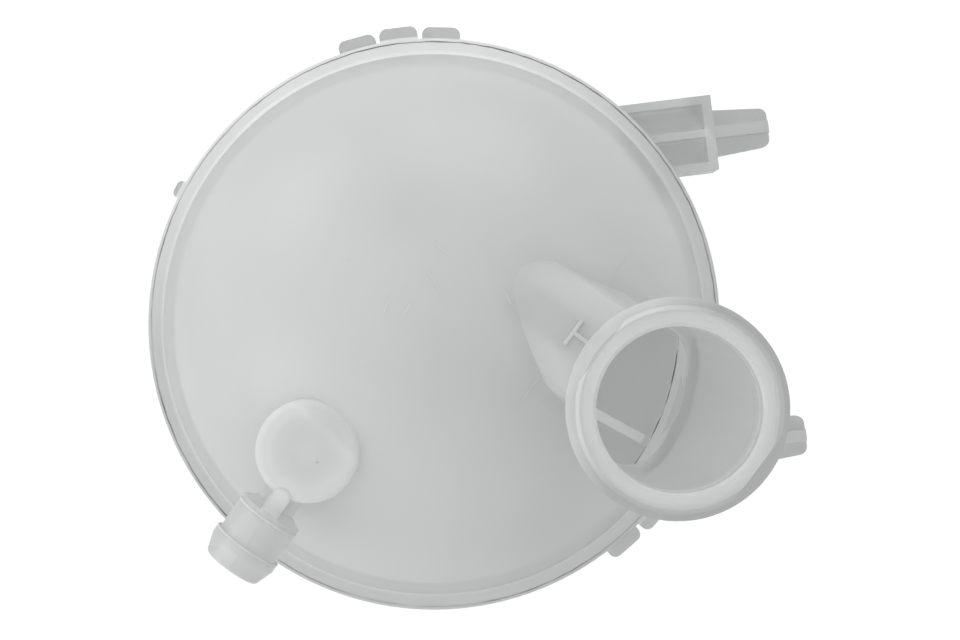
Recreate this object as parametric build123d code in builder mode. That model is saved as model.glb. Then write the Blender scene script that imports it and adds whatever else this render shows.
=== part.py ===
from build123d import *
import os
from math import atan2, cos, degrees, radians, sin, sqrt

os.makedirs("parts", exist_ok=True)

# A spherical coolant tank: two moulded half shells, welded together at a flange.
# Both halves are drawn about the centre of the sphere, with the weld plane at z = 0 and the
# mounting pins along +X. The last lines move them to the datum between the two pins.

# Sphere, wall and welded flange
dome_radius = 77.5
wall = 3.0
flange_width = 4.4
flange_thickness = 3.6
flange_root_fillet = 1.4
weld_bead = 0.8
weld_lip_width = 3.6
weld_lip_height = 2.6
weld_lip_run = 4.0

# Positioning tabs and the nub on the flanges
tab_angles = (90.0, -47.5)
tab_pitch = 8.4
tab_width = 11.0
tab_reach = 4.0
tab_root = 3.0
tab_corner = 2.2
nub_angle = 145.0
nub_width = 5.2
nub_reach = 2.2
nub_corner = 1.6

# Filler neck: a leaning, tapered tube, with a collar and two bayonet ridges for the cap
neck_x = 58.8
neck_y = -28.0
mouth_height = 98.0
neck_parting_angle = 136.0
neck_lean = 9.8
neck_lean_angle = 156.0
neck_radius = 23.6
neck_foot_radius = 22.0
neck_foot_height = 4.6
bore_radius = 20.3
bore_length = 18.0
bore_chamfer = 0.8
bayonet_radius = 25.4
bayonet_thickness = 2.8
bayonet_gap = 2.4
collar_radius = 27.5
collar_thickness = 2.4

# Fairing between the crown of the dome and the neck
fairing_angle = 138.5
fairing_length = 56.0
fairing_ridge_height = 76.6
fairing_slope = 3.2
fairing_crown_radius = 20.0
fairing_crown_half_width = 13.8
fairing_half_width = 17.6
fairing_shoulder_depth = 17.0
fairing_depth = 30.0

# Return-hose boss with a crowned top, and the barbed nipple that leaves it beside its middle
boss_x = -34.6
boss_y = -28.4
boss_height = 72.4
boss_depth = 30.0
boss_radius = 13.4
boss_crown = 1.2
boss_edge_fillet = 2.4
boss_bore_radius = 9.3
nipple_x = -32.4
nipple_y = -28.2
nipple_angle = -133.0
nipple_height = 61.5
nipple_hub_radius = 5.2
nipple_hub_length = 20.6
nipple_radius = 8.6
nipple_length = 38.4
nipple_bore_radius = 6.0
nipple_bore_length = 16.4
orifice_radius = 3.2
gusset_width = 5.0
gusset_start = 12.6
gusset_length = 10.8
gusset_height = 10.5
gusset_depth = 8.0
gusset_slope = 16.0

# Hose barb and the cone behind it, the same on the nipple and on the outlet
hub_cone = 2.0
barb_step = 0.8
barb_land = 2.4
barb_length = 7.4
barb_taper = 1.7
barb_tip_fillet = 1.0

# Mounting legs and their cross-section pins
leg_spacing = 91.2
leg_width = 21.8
leg_end = 87.9
leg_root = 50.0
leg_height = 16.8
leg_rib = 2.4
leg_end_plate = 2.8
leg_mid_rib = 2.2
leg_web = 2.6
pin_length = 16.5
pin_root_width = 13.8
pin_tip_width = 11.2
pin_rib = 3.4
pin_tip_fillet = 2.4

# Inner baffles and the outlet at the bottom
baffle_angle = -36.0
baffle_thickness = 2.8
baffle_gap = 4.0
baffle_window_radius = 17.0
baffle_window_height = 20.0
outlet_hub_radius = 10.0
outlet_hub_length = 5.0
outlet_radius = 8.6
outlet_length = 24.0
outlet_bore_radius = 6.0

# Values worked out from the sizes above
cavity_radius = dome_radius - wall
flange_radius = dome_radius + flange_width
flange_root = sqrt(dome_radius**2 - flange_thickness**2)
flange_root_angle = degrees(atan2(flange_thickness, flange_root))
lip_radius = cavity_radius - weld_lip_width
lip_top = weld_lip_height + weld_lip_run
lip_top_radius = sqrt(cavity_radius**2 - lip_top**2)
lip_top_angle = degrees(atan2(lip_top, lip_top_radius))
bayonet_underside = mouth_height - bayonet_thickness
collar_underside = bayonet_underside - bayonet_gap - collar_thickness
bore_floor = mouth_height - bore_length
neck_foot_x = neck_x + neck_lean * cos(radians(neck_lean_angle))
neck_foot_y = neck_y + neck_lean * sin(radians(neck_lean_angle))
crown_sag = fairing_crown_radius - sqrt(fairing_crown_radius**2 - fairing_crown_half_width**2)
outlet_end = dome_radius + outlet_length
pin_drop = flange_thickness + leg_height / 2
tab_length = tab_root + tab_reach
nub_length = tab_root + nub_reach

# Work planes of the features that stand at an angle
fairing_heading = Vector(1, 0, 0).rotate(Axis.Z, fairing_angle)
fairing_across = Vector(0, 1, 0).rotate(Axis.Z, fairing_angle)
fairing_fall = Vector(0, 0, -sin(radians(fairing_slope)))
fairing_plane = Plane(
    origin=(neck_x, neck_y, fairing_ridge_height),
    x_dir=fairing_across,
    z_dir=fairing_heading * cos(radians(fairing_slope)) + fairing_fall,
)
boss_plane = Plane((boss_x, boss_y, 0), x_dir=(1, 0, 0), z_dir=(0, -1, 0))
nipple_heading = Vector(1, 0, 0).rotate(Axis.Z, nipple_angle)
nipple_side = nipple_heading.cross(Vector(0, 0, 1))
nipple_start = Vector(nipple_x, nipple_y, nipple_height)
nipple_axis = Axis(nipple_start, nipple_heading)
nipple_plane = Plane(nipple_start, x_dir=nipple_heading, z_dir=nipple_side)
gusset_top = nipple_start + nipple_heading * gusset_start + Vector(0, 0, gusset_height)
gusset_plane = Plane(
    gusset_top,
    x_dir=nipple_heading.rotate(Axis((0, 0, 0), nipple_side), -gusset_slope),
    z_dir=Vector(0, 0, 1).rotate(Axis((0, 0, 0), nipple_side), -gusset_slope),
)
outlet_plane = Plane((0, 0, 0), x_dir=(0, 0, -1), z_dir=(0, 1, 0))


def draw_tabs(angles, length, width, corner):
    for angle in angles:
        with PolarLocations(flange_radius - tab_root + length / 2, 1, start_angle=angle):
            RectangleRounded(length, width, corner)


def draw_fairing(inset):
    with BuildLine() as outline:
        crown = ThreePointArc(
            (-fairing_crown_half_width, -crown_sag), (0, 0), (fairing_crown_half_width, -crown_sag)
        )
        Polyline(
            crown @ 1,
            (fairing_half_width, -fairing_shoulder_depth),
            (fairing_half_width, -fairing_depth),
            (-fairing_half_width, -fairing_depth),
            (-fairing_half_width, -fairing_shoulder_depth),
            crown @ 0,
        )
    make_face(outline.edges())
    if inset:
        offset(amount=-inset)


def draw_boss():
    with BuildLine() as outline:
        crown = TangentArc((0, boss_height), (boss_radius, boss_height - boss_crown), tangent=(1, 0))
        Polyline(
            crown @ 1,
            (boss_radius, boss_height - boss_depth),
            (0, boss_height - boss_depth),
            crown @ 0,
        )
    rim = make_face(outline.edges()).vertices().sort_by_distance(crown @ 1)[0]
    fillet(rim, boss_edge_fillet)


def draw_spigot(start, hub_radius, hub_end, radius, end):
    barb_start = end - barb_length
    barb_radius = radius + barb_step
    with BuildLine() as outline:
        Polyline(
            (start, 0),
            (start, hub_radius),
            (hub_end - hub_cone, hub_radius),
            (hub_end, radius),
            (barb_start, radius),
            (barb_start, barb_radius),
            (barb_start + barb_land, barb_radius),
            (end, barb_radius - barb_taper),
            (end, 0),
            close=True,
        )
    tip = make_face(outline.edges()).vertices().sort_by_distance((end, barb_radius))[0]
    fillet(tip, barb_tip_fillet)


def draw_pin():
    with BuildLine() as outline:
        Polyline(
            (0, -pin_root_width / 2),
            (pin_length, -pin_tip_width / 2),
            (pin_length, pin_tip_width / 2),
            (0, pin_root_width / 2),
            close=True,
        )
    fillet(make_face(outline.edges()).vertices().group_by(Axis.X)[-1], pin_tip_fillet)


# Section of one half as a solid, with half of the bead that the weld squeezes out
with BuildSketch(Plane.XZ) as half_section:
    with BuildLine():
        base = Line((0, 0), (flange_radius + weld_bead, 0))
        bead = CenterArc((flange_radius, 0), weld_bead, 0, 90)
        edge = Line(bead @ 1, (flange_radius, flange_thickness))
        seat = Line(edge @ 1, (flange_root, flange_thickness))
        dome = CenterArc((0, 0), dome_radius, flange_root_angle, 90 - flange_root_angle)
        Line(dome @ 1, base @ 0)
    make_face()
    root = half_section.vertices().sort_by_distance((flange_root, flange_thickness))[0]
    fillet(root, flange_root_fillet)

# Section of the hollow inside one half, narrower at the thick lip of the weld
with BuildSketch(Plane.XZ) as cavity_section:
    with BuildLine():
        foot = Polyline((0, 0), (lip_radius, 0), (lip_radius, weld_lip_height), (lip_top_radius, lip_top))
        vault = CenterArc((0, 0), cavity_radius, lip_top_angle, 90 - lip_top_angle)
        Line(vault @ 1, foot @ 0)
    make_face()

with BuildPart() as upper_shell:
    revolve(half_section.sketch, axis=Axis.Z)
    with BuildSketch():
        draw_tabs(tab_angles, tab_length, tab_width, tab_corner)
        draw_tabs([nub_angle], nub_length, nub_width, nub_corner)
    extrude(amount=flange_thickness)

    # Neck, collar and bayonet ridges, which are cut flat where the mould parts
    with BuildSketch(Plane((neck_foot_x, neck_foot_y, 0))):
        Circle(neck_foot_radius)
    with BuildSketch(Plane((neck_x, neck_y, bore_floor))):
        Circle(neck_radius)
    loft()
    with BuildSketch(Plane((neck_x, neck_y, bore_floor))):
        Circle(neck_radius)
    extrude(amount=bore_length)
    with BuildSketch(Plane((neck_x, neck_y, collar_underside))):
        Circle(collar_radius)
    extrude(amount=collar_thickness)
    with BuildSketch(Plane((neck_x, neck_y, bayonet_underside))):
        Circle(bayonet_radius)
        Rectangle(2 * neck_radius, 2 * bayonet_radius, rotation=neck_parting_angle, mode=Mode.INTERSECT)
    extrude(amount=bayonet_thickness)

    with BuildSketch(fairing_plane):
        draw_fairing(0)
    extrude(amount=fairing_length)

    # Boss, nipple and the round-ended gusset between them
    with BuildSketch(boss_plane):
        draw_boss()
    revolve(axis=Axis(boss_plane.origin, (0, 0, 1)))
    with BuildSketch(nipple_plane):
        draw_spigot(0, nipple_hub_radius, nipple_hub_length, nipple_radius, nipple_length)
    revolve(axis=nipple_axis)
    with BuildSketch(gusset_plane):
        with Locations((gusset_length / 2, 0)):
            SlotOverall(gusset_length, gusset_width)
    extrude(amount=-gusset_depth)

    # Hollow inside, then the ways into it
    revolve(cavity_section.sketch, axis=Axis.Z, mode=Mode.SUBTRACT)
    with BuildSketch(fairing_plane):
        draw_fairing(wall)
    extrude(amount=fairing_length, mode=Mode.SUBTRACT)
    with BuildSketch(Plane((neck_foot_x, neck_foot_y, neck_foot_height))):
        Circle(neck_foot_radius - wall)
    with BuildSketch(Plane((neck_x, neck_y, bore_floor))):
        Circle(bore_radius)
    loft(mode=Mode.SUBTRACT)
    with Locations((neck_x, neck_y, mouth_height)):
        Cylinder(
            bore_radius,
            bore_length,
            align=(Align.CENTER, Align.CENTER, Align.MAX),
            mode=Mode.SUBTRACT,
        )
    mouth_edges = upper_shell.edges().filter_by(GeomType.CIRCLE).group_by(Axis.Z)[-1]
    chamfer(mouth_edges.sort_by(SortBy.RADIUS)[0], bore_chamfer)
    with Locations((boss_x, boss_y, boss_height - boss_crown - wall)):
        Cylinder(
            boss_bore_radius,
            boss_depth,
            align=(Align.CENTER, Align.CENTER, Align.MAX),
            mode=Mode.SUBTRACT,
        )
    with BuildSketch(Plane(nipple_start, z_dir=nipple_heading)):
        Circle(orifice_radius)
    extrude(amount=nipple_length, mode=Mode.SUBTRACT)
    with BuildSketch(Plane(nipple_start + nipple_heading * nipple_length, z_dir=nipple_heading)):
        Circle(nipple_bore_radius)
    extrude(amount=-nipple_bore_length, mode=Mode.SUBTRACT)

# Crossed baffles that slow the coolant, clear of the weld and open above the outlet
with BuildPart() as baffles:
    with Locations(Location((0, 0, -baffle_gap), (0, 0, baffle_angle))):
        Box(
            2 * dome_radius,
            baffle_thickness,
            dome_radius,
            align=(Align.CENTER, Align.CENTER, Align.MAX),
        )
        Box(
            baffle_thickness,
            2 * dome_radius,
            dome_radius,
            align=(Align.CENTER, Align.CENTER, Align.MAX),
        )
    Sphere(dome_radius - wall / 2, mode=Mode.INTERSECT)
    with Locations((0, 0, -dome_radius)):
        Cylinder(
            baffle_window_radius,
            wall + baffle_window_height,
            align=(Align.CENTER, Align.CENTER, Align.MIN),
            mode=Mode.SUBTRACT,
        )

with BuildPart() as lower_shell:
    revolve(half_section.sketch.mirror(Plane.XY), axis=Axis.Z)
    with BuildSketch():
        for angle in tab_angles:
            draw_tabs((angle - tab_pitch, angle + tab_pitch), tab_length, tab_width, tab_corner)
    extrude(amount=-flange_thickness)

    # Legs: a web with ribs round it and one along its middle, closed by an end plate
    for leg_y in (leg_spacing / 2, -leg_spacing / 2):
        pocket_width = (leg_width - 2 * leg_rib - leg_mid_rib) / 2
        with BuildSketch(Plane.XY.offset(-flange_thickness)):
            with Locations(((leg_root + leg_end) / 2, leg_y)):
                Rectangle(leg_end - leg_root, leg_width)
            with Locations(((leg_root + leg_end - leg_end_plate) / 2, leg_y)):
                with GridLocations(1, pocket_width + leg_mid_rib, 1, 2):
                    Rectangle(leg_end - leg_end_plate - leg_root, pocket_width, mode=Mode.SUBTRACT)
        extrude(amount=-leg_height)
        with Locations(((leg_root + leg_end) / 2, leg_y, -pin_drop)):
            Box(leg_end - leg_root, leg_width, leg_web)
        for pin_normal in ((0, 0, 1), (0, 1, 0)):
            with BuildSketch(Plane((leg_end, leg_y, -pin_drop), x_dir=(1, 0, 0), z_dir=pin_normal)):
                draw_pin()
            extrude(amount=pin_rib / 2, both=True)

    with BuildSketch(outlet_plane):
        draw_spigot(
            cavity_radius, outlet_hub_radius, dome_radius + outlet_hub_length, outlet_radius, outlet_end
        )
    revolve(axis=Axis.Z)

    revolve(cavity_section.sketch.mirror(Plane.XY), axis=Axis.Z, mode=Mode.SUBTRACT)
    add(baffles.part)
    with Locations((0, 0, -outlet_end)):
        Cylinder(
            outlet_bore_radius,
            outlet_length + 2 * wall,
            align=(Align.CENTER, Align.CENTER, Align.MIN),
            mode=Mode.SUBTRACT,
        )

# The origin is midway between the pins, on the plane of their shoulders
datum = Location((-leg_end, 0, pin_drop))

upper_shell.part.move(datum)
upper_shell.part.label = "upper_shell"
export_step(upper_shell.part, "parts/upper_shell.step")

lower_shell.part.move(datum)
lower_shell.part.label = "lower_shell"
export_step(lower_shell.part, "parts/lower_shell.step")
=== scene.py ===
import math

import bpy
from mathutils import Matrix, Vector


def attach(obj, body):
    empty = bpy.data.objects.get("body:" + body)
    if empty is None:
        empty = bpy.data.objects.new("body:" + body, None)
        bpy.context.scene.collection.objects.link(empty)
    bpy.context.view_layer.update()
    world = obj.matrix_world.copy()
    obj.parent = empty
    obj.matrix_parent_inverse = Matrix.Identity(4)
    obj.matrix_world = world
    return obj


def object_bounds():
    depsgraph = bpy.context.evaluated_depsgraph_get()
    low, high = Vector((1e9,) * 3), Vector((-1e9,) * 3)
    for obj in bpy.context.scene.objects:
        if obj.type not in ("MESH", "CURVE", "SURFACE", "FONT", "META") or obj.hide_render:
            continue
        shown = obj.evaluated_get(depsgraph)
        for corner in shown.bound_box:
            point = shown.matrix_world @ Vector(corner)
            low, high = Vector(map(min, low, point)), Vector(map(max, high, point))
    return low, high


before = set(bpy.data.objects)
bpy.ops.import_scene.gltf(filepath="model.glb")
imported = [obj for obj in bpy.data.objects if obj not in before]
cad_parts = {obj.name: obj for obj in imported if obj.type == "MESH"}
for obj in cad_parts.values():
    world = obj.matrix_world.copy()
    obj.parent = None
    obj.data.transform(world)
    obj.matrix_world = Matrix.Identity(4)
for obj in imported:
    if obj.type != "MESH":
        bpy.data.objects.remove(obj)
cadLow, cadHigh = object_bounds()
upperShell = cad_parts["upper_shell"]
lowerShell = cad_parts["lower_shell"]
print("frame loaded:", sorted(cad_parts))

mm = 0.001  # sizes below are in millimetres, the scene is in metres
tankCentre = Vector((-87.9, 0.0, 12.0))  # middle of the sphere, on the weld plane
weldHeight = tankCentre.z


def place(x, y, z):  # a point measured from the middle of the sphere
    return (Vector((x, y, z)) + tankCentre) * mm


def toLinear(hexColour):
    parts = [int(hexColour[i:i + 2], 16) / 255 for i in (1, 3, 5)]
    return [c / 12.92 if c <= 0.04045 else ((c + 0.055) / 1.055) ** 2.4 for c in parts] + [1.0]


def addNode(tree, kind, settings=None, links=None):
    node = tree.nodes.new(kind)
    for name, value in (settings or {}).items():
        if isinstance(name, str) and hasattr(node, name):
            setattr(node, name, value)
        else:
            node.inputs[name].default_value = value
    for name, socket in (links or {}).items():
        tree.links.new(socket, node.inputs[name])
    return node


def startTree(owner):
    owner.use_nodes = True
    owner.node_tree.nodes.clear()
    return owner.node_tree


def addNoise(tree, spot, size):  # soft patches of a size in mm
    noise = addNode(tree, "ShaderNodeTexNoise", {"Scale": 1 / (size * mm), "Detail": 2.0}, {"Vector": spot})
    return noise.outputs["Fac"]


def addBlend(tree, share, first, second):  # from one colour to another
    settings = {"data_type": "RGBA", 6: toLinear(first), 7: toLinear(second)}
    return addNode(tree, "ShaderNodeMix", settings, {"Factor": share}).outputs[2]


# Natural polypropylene, injection moulded without pigment. It is milky: a thin wall lets part of the
# light straight through and looks grey, a thick one scatters it back and looks white.
polypropylene = {
    "thin": "#CDCECE",
    "thick": "#FAFBFB",
    "thickness": 7.0,     # mm of plastic that looks fully white
    "paintedLightBand": 6.4,      # mm either side of the weld, whitened by painted light
    "weldEdge": 82.9,     # mm from the axis, where the band ends
    "lightHeading": 103.0, # heading on which the painted light on the flange is strongest, towards the softboxes
    "weldLightElsewhere": 0.36,    # painted light on the flange elsewhere
    "lightFrom": 20.0,    # mm on that heading, where the painted light starts to grow
    "lightAt": 75.0,      # mm, where the painted light is strongest
    "baffleEdge": 69.0,   # mm from the axis, where the baffles end, which get the full painted light at the weld
    "neck": (58.8, -28.0),
    "sealLand": 24.3,     # mm from the neck's axis, the white ring that the cap's seal has rubbed
    "collarFoot": 89.0,   # mm above the weld, where the collar with its painted shade and light starts
    "shadedSide": -37.0,   # heading from the neck on which the collar's painted shade is deepest, so it is greyest and clearest
    "shadeFrom": -18.0,   # mm on that heading, where the painted shade starts
    "shadeAt": -4.0,      # mm, where the painted shade is full
    "collarShade": 0.8,      # share of its white that the painted shade takes there
    "collarLightBeside": 0.6,   # painted light: white of the collar beside the tank
    "pinReach": 97.0,     # mm from the axis, where the mounting pins start, greyer and clearer by painted shade
    "pinShadedWhite": 0.6,
    "ridge": 137.0,       # heading of the fairing, greyer along its middle by painted shade
    "ridgeShade": 0.35,
    "ridgeNear": 24.0,    # mm from the neck's axis, where the painted shade starts
    "ridgeFar": 52.0,     # mm, where it has ended
    "ridgeHalf": 3.5,     # mm to either side
    "ridgeFoot": 40.0,    # mm above the weld
    "turning": 0.8,       # mm between the fine rings on the seal's land
    "cloud": "#B9BABA",   # flow marks
    "cloudSize": 42.0,    # mm
    "cloudShare": 0.16,
    "cloudFrom": 0.45,    # of the noise, where they start
    "cloudTo": 0.75,      # and where they are fullest
    "speck": "#6E6E6C",
    "speckGap": 13.0,     # mm from one dark speck to the next
    "speckSize": 0.3,     # mm
    "speckShare": 0.7,
    "turningDepth": 0.03, # mm
    "roughness": 0.36,
    "bending": 1.49,      # index of refraction
    "creeping": 0.3,      # share of the light that creeps in the wall
    "scatter": 6.0,       # mm that it creeps
    "seeThrough": 0.42,   # share that goes straight through a thin face
    "passing": "#F2F3F3", # what a wall leaves of the light that goes straight through
    "letLampIn": 0.95,    # share of the lamps' light that gets into the tank
    "letRoomIn": 0.42,    # the same of the room's light
}


def makePolypropylene():
    p = polypropylene
    mat = bpy.data.materials.new("naturalPolypropyleneMoulded")
    tree = startTree(mat)
    spot = addNode(tree, "ShaderNodeTexCoord").outputs["Object"]

    def fade(socket, low, high, start=0.0, end=1.0):  # runs from start to end between two sizes in mm
        return addNode(tree, "ShaderNodeMapRange", {
            "From Min": low * mm, "From Max": high * mm, "To Min": start, "To Max": end,
        }, {"Value": socket}).outputs[0]

    def combine(operation, first, second):
        return addNode(tree, "ShaderNodeMath", {"operation": operation}, {0: first, 1: second}).outputs[0]

    def scale(socket, factor, more=0.0):  # factor times the value, and more
        settings = {"operation": "MULTIPLY_ADD", 1: factor, 2: more}
        return addNode(tree, "ShaderNodeMath", settings, {0: socket}).outputs[0]

    def vector(operation, socket, other=None):
        settings = {"operation": operation}
        if other is not None:
            settings[1] = other
        return addNode(tree, "ShaderNodeVectorMath", settings, {0: socket})

    def reach(x, y):  # distance from an upright axis
        off = vector("SUBTRACT", spot, place(x, y, 0))
        flat = vector("MULTIPLY", off.outputs[0], (1, 1, 0))
        return vector("LENGTH", flat.outputs[0]).outputs["Value"]

    def along(x, y, heading):  # distance from a point, measured on one heading
        turn = math.radians(heading)
        off = vector("SUBTRACT", spot, place(x, y, 0))
        return vector("DOT_PRODUCT", off.outputs[0], (math.cos(turn), math.sin(turn), 0)).outputs["Value"]

    # how thick the plastic is behind each point
    thick = addNode(tree, "ShaderNodeAmbientOcclusion", {
        "inside": True, "samples": 1, "Distance": p["thickness"] * mm,
    })
    height = addNode(tree, "ShaderNodeSeparateXYZ", {}, {0: spot})
    level = addNode(tree, "ShaderNodeMath", {"operation": "SUBTRACT", 1: weldHeight * mm},
                    {0: height.outputs["Z"]}).outputs[0]

    # painted light: a whiter band along the weld, full on the baffles inside and, on the flange, strongest
    # on one heading, towards the softboxes
    away = addNode(tree, "ShaderNodeMath", {"operation": "ABSOLUTE"}, {0: level}).outputs[0]
    tankReach = reach(0, 0)
    paintedFlangeLight = fade(along(0, 0, p["lightHeading"]), p["lightFrom"], p["lightAt"], p["weldLightElsewhere"], 1.0)
    baffles = fade(tankReach, p["baffleEdge"], p["baffleEdge"] + 1.5, 1.0, 0.0)
    inside = combine("MAXIMUM", baffles, paintedFlangeLight)
    within = fade(tankReach, p["weldEdge"] - 0.2, p["weldEdge"], 1.0, 0.0)
    near = fade(away, p["paintedLightBand"] - 1, p["paintedLightBand"], 1.0, 0.0)
    band = combine("MULTIPLY", combine("MULTIPLY", inside, within), near)
    whiter = combine("MAXIMUM", thick.outputs["AO"], band)

    # painted shade and light on the collar round the mouth: greyer and clearer away from the tank, lighter
    # beside it; the land that the seal has rubbed keeps its own white
    neckReach = reach(*p["neck"])
    nearMouth = fade(level, p["collarFoot"], p["collarFoot"] + 1)
    onCollar = combine("MULTIPLY", nearMouth, fade(neckReach, p["sealLand"] - 0.2, p["sealLand"] + 0.3))
    shadeSide = fade(along(*p["neck"], p["shadedSide"]), p["shadeFrom"], p["shadeAt"])
    shadedCollar = combine("MULTIPLY", onCollar, shadeSide)
    keep = scale(shadedCollar, -p["collarShade"], 1.0)
    beside = scale(combine("SUBTRACT", onCollar, shadedCollar), p["collarLightBeside"])

    # painted shade: the fairing is greyer and clearer along its middle, between two whiter flanks
    side = along(*p["neck"], p["ridge"] + 90)
    across = addNode(tree, "ShaderNodeMath", {"operation": "ABSOLUTE"}, {0: side}).outputs[0]
    run = along(*p["neck"], p["ridge"])
    lengthwise = combine("MULTIPLY", fade(run, p["ridgeNear"], p["ridgeNear"] + 4),
                         fade(run, p["ridgeFar"] - 8, p["ridgeFar"], 1.0, 0.0))
    narrow = combine("MULTIPLY", lengthwise, fade(across, p["ridgeHalf"], p["ridgeHalf"] + 3, 1.0, 0.0))
    ridgeShadeMask = combine("MULTIPLY", narrow, fade(level, p["ridgeFoot"], p["ridgeFoot"] + 2))
    paintedRidgeShade = scale(ridgeShadeMask, -p["ridgeShade"], 1.0)

    # all of it together, with the mounting pins greyer and clearer by painted shade
    whitest = combine("MAXIMUM", combine("MULTIPLY", whiter, keep), beside)
    pins = fade(tankReach, p["pinReach"], p["pinReach"] + 2, 1.0, p["pinShadedWhite"])
    white = combine("MULTIPLY", combine("MULTIPLY", whitest, paintedRidgeShade), pins)

    # colour: grey to white by thickness and by the painted light and shade above, with soft flow marks and
    # a few burnt specks
    body = addBlend(tree, white, p["thin"], p["thick"])
    flowShare = addNode(tree, "ShaderNodeMapRange", {
        "From Min": p["cloudFrom"], "From Max": p["cloudTo"], "To Max": p["cloudShare"],
    }, {"Value": addNoise(tree, spot, p["cloudSize"])})
    cloudy = addNode(tree, "ShaderNodeMix", {"data_type": "RGBA", 7: toLinear(p["cloud"])},
                     {"Factor": flowShare.outputs[0], 6: body})
    cell = addNode(tree, "ShaderNodeTexVoronoi", {"Scale": 1 / (p["speckGap"] * mm)}, {"Vector": spot})
    isSpeck = addNode(tree, "ShaderNodeMapRange", {
        "From Min": p["speckSize"] / p["speckGap"],
        "From Max": 0.6 * p["speckSize"] / p["speckGap"],
        "To Max": p["speckShare"],
    }, {"Value": cell.outputs["Distance"]})
    colour = addNode(tree, "ShaderNodeMix", {"data_type": "RGBA", 7: toLinear(p["speck"])},
                     {"Factor": isSpeck.outputs[0], 6: cloudy.outputs[2]})

    # the seal of the cap has left fine rings on its land
    turns = addNode(tree, "ShaderNodeMath", {"operation": "MULTIPLY", 1: 2 * math.pi / (p["turning"] * mm)},
                    {0: neckReach})
    ripple = addNode(tree, "ShaderNodeMath", {"operation": "SINE"}, {0: turns.outputs[0]})
    rubbed = combine("SUBTRACT", nearMouth, onCollar)
    bump = addNode(tree, "ShaderNodeBump", {"Strength": 0.5, "Distance": p["turningDepth"] * mm},
                   {"Height": combine("MULTIPLY", ripple.outputs[0], rubbed)})
    shader = addNode(tree, "ShaderNodeBsdfPrincipled", {
        "Roughness": p["roughness"],
        "IOR": p["bending"],
        "Subsurface Weight": p["creeping"],
        "Subsurface Radius": (1.0, 1.0, 1.0),
        "Subsurface Scale": p["scatter"] * mm,
    }, {"Base Color": colour.outputs[2], "Normal": bump.outputs[0]})

    # part of the view goes straight through thin plastic, and more of the light
    thin = scale(white, -p["seeThrough"], p["seeThrough"])
    clear = addNode(tree, "ShaderNodeBsdfTransparent", {"Color": toLinear(p["passing"])})
    milky = addNode(tree, "ShaderNodeMixShader", {}, {0: thin, 1: shader.outputs[0], 2: clear.outputs[0]})
    path = addNode(tree, "ShaderNodeLightPath")
    room = scale(path.outputs["Is Diffuse Ray"], p["letRoomIn"])
    letThrough = addNode(tree, "ShaderNodeBsdfTransparent", {"Color": (p["letLampIn"],) * 3 + (1,)})
    surface = addNode(tree, "ShaderNodeMixShader", {}, {
        0: combine("MAXIMUM", path.outputs["Is Shadow Ray"], room),
        1: milky.outputs[0],
        2: letThrough.outputs[0],
    })
    addNode(tree, "ShaderNodeOutputMaterial", {}, {"Surface": surface.outputs[0]})
    return mat


# Plastic squeezed out of the hot weld inside the tank: a thin line, dark in dashes.
darkDashedFlash = {
    "name": "polypropyleneWeldFlashDarkDashed",
    "clean": "#D6D7D6",
    "dark": "#6C6B69",
    "dash": 5.0,          # mm
    "from": 0.38,         # of the noise, where the dark starts
    "to": 0.52,
    "roughness": 0.6,
}
# Painted shade on polypropylene: a dark line that comes and goes, for the shade in the crevice at the
# flange's edge.
paintedShadeLine = {
    "name": "polypropyleneShadeLinePainted",
    "clean": "#CFD0D0",
    "dark": "#7E7E7C",
    "dash": 26.0,
    "from": 0.28,
    "to": 0.52,
    "roughness": 0.6,
}


def finishOpaque(tree, colour, roughness):
    settings = {"Roughness": roughness, "IOR": polypropylene["bending"]}
    shader = addNode(tree, "ShaderNodeBsdfPrincipled", settings, {"Base Color": colour})
    addNode(tree, "ShaderNodeOutputMaterial", {}, {"Surface": shader.outputs[0]})


def makeDashed(p):
    mat = bpy.data.materials.new(p["name"])
    tree = startTree(mat)
    spot = addNode(tree, "ShaderNodeTexCoord").outputs["Object"]
    dark = addNode(tree, "ShaderNodeMapRange", {"From Min": p["from"], "From Max": p["to"]},
                   {"Value": addNoise(tree, spot, p["dash"])})
    colour = addBlend(tree, dark.outputs[0], p["clean"], p["dark"])
    finishOpaque(tree, colour, p["roughness"])
    return mat


# Polypropylene drawn out in a thin bead at a seam of the mould: too cloudy to see through, so it shows
# as a pale line.
cloudedBead = {
    "pale": "#E2E3E3",
    "dull": "#D2D3D3",
    "patch": 3.0,     # mm
    "roughness": 0.4,
}


def makeCloudedBead():
    p = cloudedBead
    mat = bpy.data.materials.new("polypropyleneBeadClouded")
    tree = startTree(mat)
    spot = addNode(tree, "ShaderNodeTexCoord").outputs["Object"]
    colour = addBlend(tree, addNoise(tree, spot, p["patch"]), p["dull"], p["pale"])
    finishOpaque(tree, colour, p["roughness"])
    return mat


plastic = makePolypropylene()
flashPlastic = makeDashed(darkDashedFlash)
shadeLinePlastic = makeDashed(paintedShadeLine)
beadPlastic = makeCloudedBead()
for shell in (upperShell, lowerShell):
    shell.data.materials.clear()
    shell.data.materials.append(plastic)
print("materials made")

bevelAngle = math.radians(50)   # edges sharper than this are rounded
smoothAngle = math.radians(35)  # and those sharper than this stay crisp in the shading
dropHeight = 120.0              # mm above the weld, from where flat outlines are dropped on the dome


def begin(name):  # the object just added, alone selected and named
    piece = bpy.context.object
    piece.name = name
    return piece


def selectVerts(piece, test):
    bpy.ops.object.mode_set(mode="EDIT")
    bpy.ops.mesh.select_all(action="DESELECT")
    bpy.ops.object.mode_set(mode="OBJECT")
    for v in piece.data.vertices:
        v.select = bool(test(v.co))
    bpy.ops.object.mode_set(mode="EDIT")


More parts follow.
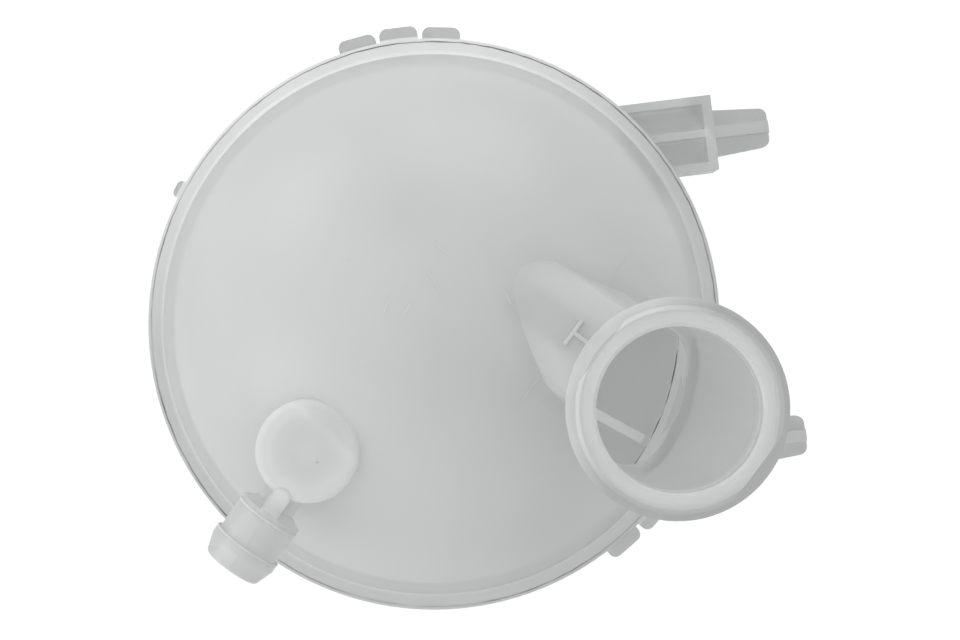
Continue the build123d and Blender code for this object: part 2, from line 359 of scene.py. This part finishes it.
def applyModifier(piece, kind, **settings):
    mod = piece.modifiers.new(kind.lower(), kind)
    for name, value in settings.items():
        setattr(mod, name, value)
    bpy.ops.object.modifier_apply(modifier=mod.name)


def roundEdges(piece, width, segments):
    applyModifier(piece, "BEVEL", width=width * mm, segments=segments,
                  limit_method="ANGLE", angle_limit=bevelAngle)


def layOn(piece, thickness, sink):  # drops a flat outline on the upper shell and gives it thickness
    bpy.ops.object.transform_apply(location=True, rotation=True, scale=True)
    applyModifier(piece, "SHRINKWRAP", target=upperShell, wrap_method="PROJECT", use_project_z=True,
                  use_negative_direction=True, use_positive_direction=False, offset=-sink * mm)
    applyModifier(piece, "SOLIDIFY", thickness=(thickness + sink) * mm, offset=1.0)


def dress(piece, material):
    bpy.ops.object.mode_set(mode="EDIT")
    bpy.ops.mesh.select_all(action="SELECT")
    bpy.ops.mesh.remove_doubles(threshold=0.001 * mm)
    bpy.ops.mesh.normals_make_consistent(inside=False)
    bpy.ops.object.mode_set(mode="OBJECT")
    bpy.ops.object.shade_smooth_by_angle(angle=smoothAngle)
    piece.data.materials.clear()
    piece.data.materials.append(material)
    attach(piece, "root")


# the T where two slides of the mould meet, on the ridge of the fairing
partingMark = {
    "neck": (58.8, -28.0),  # mm from the middle of the sphere
    "heading": 136.0,       # degrees, the way from the neck to the crown
    "barAt": 31.0,          # mm from the neck's axis
    "dropFrom": 89.0,       # mm, under the collar
    "barLength": 7.5,
    "stemLength": 6.6,
    "width": 1.05,
    "height": 0.45,
    "sink": 0.3,
    "edge": 0.14,
    "cells": 7,             # along the bar and along the stem
}


def makePartingMark():
    p = partingMark
    bpy.ops.object.select_all(action="DESELECT")
    bpy.ops.mesh.primitive_grid_add(x_subdivisions=2, y_subdivisions=p["cells"], size=1)
    mark = begin("partingMark")
    bpy.ops.transform.resize(value=(p["width"] * mm, p["barLength"] * mm, 1))
    bpy.ops.object.transform_apply(scale=True)
    # the stem grows from the middle of the bar towards the neck
    half = p["barLength"] / (2 * p["cells"]) * 1.1 * mm
    selectVerts(mark, lambda co: co.x < -0.4 * p["width"] * mm and abs(co.y) < half)
    step = -p["stemLength"] / p["cells"] * mm
    for _ in range(p["cells"]):
        bpy.ops.mesh.extrude_region_move(TRANSFORM_OT_translate={"value": (step, 0, 0)})
    bpy.ops.object.mode_set(mode="OBJECT")
    turn = math.radians(p["heading"])
    mark.rotation_euler.z = turn
    x = p["neck"][0] + p["barAt"] * math.cos(turn)
    y = p["neck"][1] + p["barAt"] * math.sin(turn)
    mark.location = place(x, y, p["dropFrom"])
    layOn(mark, p["height"], p["sink"])
    roundEdges(mark, p["edge"], 2)
    dress(mark, beadPlastic)


# the faint ridge that the parting of the mould leaves on the dome, in line with the T's bar on either side
partingLine = {
    "runs": ((19.0, 8.0), (-21.5, 10.0)),  # mm from the bar's middle, length
    "width": 0.12,
    "height": 0.02,
    "sink": 0.2,
    "cells": 40,
}


def makeStrip(name, width, length, cells):  # a flat strip along y, its ends drawn to a point
    bpy.ops.object.select_all(action="DESELECT")
    bpy.ops.mesh.primitive_grid_add(x_subdivisions=1, y_subdivisions=cells, size=1)
    strip = begin(name)
    bpy.ops.transform.resize(value=(width * mm, length * mm, 1))
    bpy.ops.object.transform_apply(scale=True)
    for share in (0.42, 0.49):
        selectVerts(strip, lambda co: abs(co.y) > share * length * mm)
        bpy.ops.transform.resize(value=(0.5, 1, 1))
    bpy.ops.object.mode_set(mode="OBJECT")
    return strip


def makePartingLine():
    p, m = partingLine, partingMark
    turn = math.radians(m["heading"])
    for shift, length in p["runs"]:
        line = makeStrip("partingLine", p["width"], length, p["cells"])
        line.rotation_euler.z = turn
        x = m["neck"][0] + m["barAt"] * math.cos(turn) - shift * math.sin(turn)
        y = m["neck"][1] + m["barAt"] * math.sin(turn) + shift * math.cos(turn)
        line.location = place(x, y, dropHeight)
        layOn(line, p["height"], p["sink"])
        dress(line, beadPlastic)


def makeRing(name, inner, outer, height, segments):  # a flat ring round the tank, its outline still open
    bpy.ops.object.select_all(action="DESELECT")
    bpy.ops.mesh.primitive_circle_add(vertices=segments, radius=inner * mm, fill_type="NOTHING")
    ring = begin(name)
    bpy.ops.object.mode_set(mode="EDIT")
    bpy.ops.mesh.select_all(action="SELECT")
    grow = outer / inner
    bpy.ops.mesh.extrude_edges_move()
    bpy.ops.transform.resize(value=(grow, grow, 1))
    bpy.ops.object.mode_set(mode="OBJECT")
    if ring.data.polygons[0].normal.z < 0:
        bpy.ops.object.mode_set(mode="EDIT")
        bpy.ops.mesh.select_all(action="SELECT")
        bpy.ops.mesh.flip_normals()
        bpy.ops.object.mode_set(mode="OBJECT")
    ring.location = place(0, 0, height)
    return ring


# plastic that the weld squeezed out between the flanges: a ragged lip, fuller along the front and the left
weldFlash = {
    "inner": 81.5,    # mm from the axis of the tank
    "outer": 82.45,
    "height": -0.35,
    "thickness": 0.5,
    "ragged": 0.22,
    "segments": 480,
    "seed": 11,
    "bulges": [  # from and to in degrees, mm
        (236, 266, 0.95), (174, 214, 0.85), (20, 38, 0.3), (300, 318, 0.35), (110, 132, 0.3),
    ],
}


def makeWeldFlash():
    p = weldFlash
    flash = makeRing("weldFlash", p["inner"], p["outer"], p["height"], p["segments"])
    edge = (p["inner"] + p["outer"]) / 2 * mm
    for start, end, more in p["bulges"]:
        grow = (p["outer"] + more) / p["outer"]
        selectVerts(flash, lambda co: co.xy.length > edge
                    and start < math.degrees(math.atan2(co.y, co.x)) % 360 < end)
        bpy.ops.transform.resize(value=(grow, grow, 1))
    selectVerts(flash, lambda co: co.xy.length > edge)
    bpy.ops.mesh.vertices_smooth(factor=0.5, repeat=10, zaxis=False)
    bpy.ops.transform.vertex_random(offset=p["ragged"] * mm, uniform=1.0, normal=0.0, seed=p["seed"])
    bpy.ops.mesh.vertices_smooth(factor=0.5, repeat=1)
    bpy.ops.object.mode_set(mode="OBJECT")
    bpy.ops.object.transform_apply(location=True)
    applyModifier(flash, "SOLIDIFY", thickness=p["thickness"] * mm, offset=0.0)
    # the flash is cut off where it would stand out of the box of the CAD part
    for corner, normal in ((cadLow, (-1, 0, 0)), (cadLow, (0, -1, 0)), (cadHigh, (0, 1, 0))):
        bpy.ops.object.mode_set(mode="EDIT")
        bpy.ops.mesh.select_all(action="SELECT")
        bpy.ops.mesh.bisect(plane_co=corner, plane_no=normal, use_fill=True, clear_outer=True)
        bpy.ops.object.mode_set(mode="OBJECT")
    dress(flash, plastic)


# the same inside, at the thick lip of the weld, where it is seen through the mouth
innerFlash = {
    "inner": 70.45,
    "outer": 71.2,
    "height": 0.9,
    "thickness": 0.5,
    "ragged": 0.3,
    "segments": 420,
    "seed": 5,
}


def makeInnerFlash():
    p = innerFlash
    flash = makeRing("innerWeldFlash", p["inner"], p["outer"], p["height"], p["segments"])
    edge = (p["inner"] + p["outer"]) / 2 * mm
    selectVerts(flash, lambda co: co.xy.length < edge)
    bpy.ops.transform.vertex_random(offset=p["ragged"] * mm, uniform=1.0, normal=0.0, seed=p["seed"])
    bpy.ops.mesh.vertices_smooth(factor=0.5, repeat=2)
    bpy.ops.object.mode_set(mode="OBJECT")
    bpy.ops.object.transform_apply(location=True)
    applyModifier(flash, "SOLIDIFY", thickness=p["thickness"] * mm, offset=0.0)
    dress(flash, flashPlastic)


# painted shade: a dark line laid on the top of the flange near its edge, for the shade of the crevice
# between the flange and the flash
flangeShadeLine = {
    "inner": 81.05,
    "outer": 81.45,
    "height": 3.6,    # mm above the weld
    "sink": 0.1,
    "thickness": 0.15,
    "ragged": 0.16,
    "segments": 360,
    "seed": 3,
}


def makeFlangeShadeLine():
    p = flangeShadeLine
    groove = makeRing("flangeShadeLine", p["inner"], p["outer"], p["height"] - p["sink"], p["segments"])
    selectVerts(groove, lambda co: co.xy.length > 0)
    bpy.ops.transform.vertex_random(offset=p["ragged"] * mm, uniform=1.0, normal=0.0, seed=p["seed"])
    bpy.ops.mesh.vertices_smooth(factor=0.5, repeat=1)
    bpy.ops.transform.resize(value=(1, 1, 0))
    bpy.ops.object.mode_set(mode="OBJECT")
    bpy.ops.object.transform_apply(location=True)
    applyModifier(groove, "SOLIDIFY", thickness=p["thickness"] * mm, offset=1.0)
    dress(groove, shadeLinePlastic)


# fine beads round the nipple: one where its hub ends, one behind the barb
nippleBeads = {
    "start": (-32.4, -28.2, 61.5),
    "heading": -133.0,
    "beads": [  # mm along the nipple, inner radius, outer radius, width
        (22.2, 8.3, 8.76, 0.8), (31.2, 9.1, 9.48, 0.6),
    ],
    "edge": 0.16,
    "segments": 72,
}


def makeNippleBeads():
    p = nippleBeads
    turn = math.radians(p["heading"])
    for along, inner, outer, width in p["beads"]:
        bead = makeRing("nippleBead", inner, outer, 0, p["segments"])
        bead.rotation_euler = (0, math.radians(90), turn)
        x = p["start"][0] + along * math.cos(turn)
        y = p["start"][1] + along * math.sin(turn)
        bead.location = place(x, y, p["start"][2])
        bpy.ops.object.transform_apply(location=True, rotation=True)
        applyModifier(bead, "SOLIDIFY", thickness=width * mm, offset=0.0)
        roundEdges(bead, p["edge"], 3)
        dress(bead, beadPlastic)


# hairlines that handling has left near the crown, as pale burrs
hairlines = {
    "width": 0.14,
    "height": 0.02,
    "sink": 0.1,
    "cells": 16,
    "strokes": [  # mm from the middle of the sphere, length, degrees
        (3.5, 9.4, 11.2, 24), (-9.5, 6.2, 5.0, -31), (-4.4, 4.7, 4.0, -39),
        (5.1, 19.4, 5.0, 47), (21.1, 4.1, 3.8, 20),
    ],
}


def makeHairlines():
    p = hairlines
    pattern = makeStrip("hairlinePattern", p["width"], 1, p["cells"])
    for x, y, length, turn in p["strokes"]:
        bpy.ops.object.select_all(action="DESELECT")
        pattern.select_set(True)
        bpy.context.view_layer.objects.active = pattern
        bpy.ops.object.duplicate()
        stroke = begin("hairline")
        stroke.scale.y = length
        stroke.rotation_euler.z = math.radians(turn)
        stroke.location = place(x, y, dropHeight)
        layOn(stroke, p["height"], p["sink"])
        dress(stroke, beadPlastic)
    bpy.data.objects.remove(pattern)


makePartingMark()
makePartingLine()
makeWeldFlash()
makeInnerFlash()
makeFlangeShadeLine()
makeNippleBeads()
makeHairlines()
print("pieces added: parting mark and line, weld flash, flange shade line, nipple beads, hairlines")

studioFloor = {
    "size": 20000.0,      # mm
    "colour": "#B8B8B8",
    "lift": 0.68,         # what the eye sees on top of the lit paper, so that it burns out to white
}


def seenStraight(tree):  # 1 for the eye, gloss and glass, 0 for light and for what shows through plastic
    path = addNode(tree, "ShaderNodeLightPath")
    direct = addNode(tree, "ShaderNodeMath", {"operation": "SUBTRACT", "use_clamp": True},
                     {0: path.outputs["Is Camera Ray"], 1: path.outputs["Transparent Depth"]})
    gloss = addNode(tree, "ShaderNodeMath", {"operation": "MAXIMUM"},
                    {0: direct.outputs[0], 1: path.outputs["Is Glossy Ray"]})
    glass = addNode(tree, "ShaderNodeMath", {"operation": "MAXIMUM"},
                    {0: gloss.outputs[0], 1: path.outputs["Is Transmission Ray"]})
    return glass.outputs[0]


def makeFloor():
    bpy.ops.object.select_all(action="DESELECT")
    bpy.ops.mesh.primitive_plane_add(size=studioFloor["size"] * mm, location=(0, 0, cadLow.z))
    floor = begin("studioFloor")
    mat = bpy.data.materials.new("studioPaperPale")
    tree = startTree(mat)
    paper = addNode(tree, "ShaderNodeBsdfDiffuse", {"Color": toLinear(studioFloor["colour"])})
    lift = addNode(tree, "ShaderNodeMath", {"operation": "MULTIPLY", 1: studioFloor["lift"]},
                   {0: seenStraight(tree)})
    glow = addNode(tree, "ShaderNodeEmission", {}, {"Strength": lift.outputs[0]})
    both = addNode(tree, "ShaderNodeAddShader", {}, {0: paper.outputs[0], 1: glow.outputs[0]})
    addNode(tree, "ShaderNodeOutputMaterial", {}, {"Surface": both.outputs[0]})
    floor.data.materials.append(mat)


makeFloor()

# azimuth and height in degrees and distance in metres from the middle of the tank, size in metres, power in
# watts
softboxes = {
    "leftSoftbox": {"azimuth": 198, "height": 22, "distance": 1.1, "size": 0.6, "power": 2.1},
    "backLeftSoftbox": {"azimuth": 126, "height": 6, "distance": 1.1, "size": 0.7, "power": 1.8},
    "backSoftbox": {"azimuth": 70, "height": 4, "distance": 1.1, "size": 0.8, "power": 2.1},
}
roomLight = 0.73  # strength of the even light from all round
aimHeight = 30.0  # mm above the weld, where the softboxes point


def makeLight():
    world = bpy.data.worlds.new("studioRoom")
    bpy.context.scene.world = world
    tree = startTree(world)
    settings = {"operation": "MULTIPLY_ADD", 1: 1 - roomLight, 2: roomLight}
    strength = addNode(tree, "ShaderNodeMath", settings, {0: seenStraight(tree)})
    room = addNode(tree, "ShaderNodeBackground", {"Color": (1, 1, 1, 1)}, {"Strength": strength.outputs[0]})
    addNode(tree, "ShaderNodeOutputWorld", {}, {"Surface": room.outputs[0]})
    for name, box in softboxes.items():
        a, h = math.radians(box["azimuth"]), math.radians(box["height"])
        away = Vector((math.cos(a) * math.cos(h), math.sin(a) * math.cos(h), math.sin(h)))
        bpy.ops.object.light_add(type="AREA", location=place(0, 0, aimHeight) + away * box["distance"])
        light = begin(name)
        light.data.energy = box["power"]
        light.data.size = box["size"]
        light.rotation_euler = (-away).to_track_quat("-Z", "Y").to_euler()


makeLight()

view = {
    "aim": (13.36, -0.47),   # mm from the middle of the sphere, under the middle of the picture
    "height": 600.0,         # mm above the weld plane
    "lens": 77.73,           # mm
    "sensor": 36.0,          # mm wide
    "upAzimuth": 83.0,       # degrees, what points up in the picture
}


def makeCamera():
    bpy.ops.object.camera_add(location=place(view["aim"][0], view["aim"][1], view["height"]))
    camera = begin("photoCamera")
    camera.data.lens = view["lens"]
    camera.data.sensor_width = view["sensor"]
    camera.data.clip_start, camera.data.clip_end = 0.01, 50.0
    camera.rotation_euler.z = math.radians(view["upAzimuth"] - 90)
    bpy.context.scene.camera = camera
    bpy.context.scene.view_settings.view_transform = "Standard"


makeCamera()
print("floor, light and camera set")
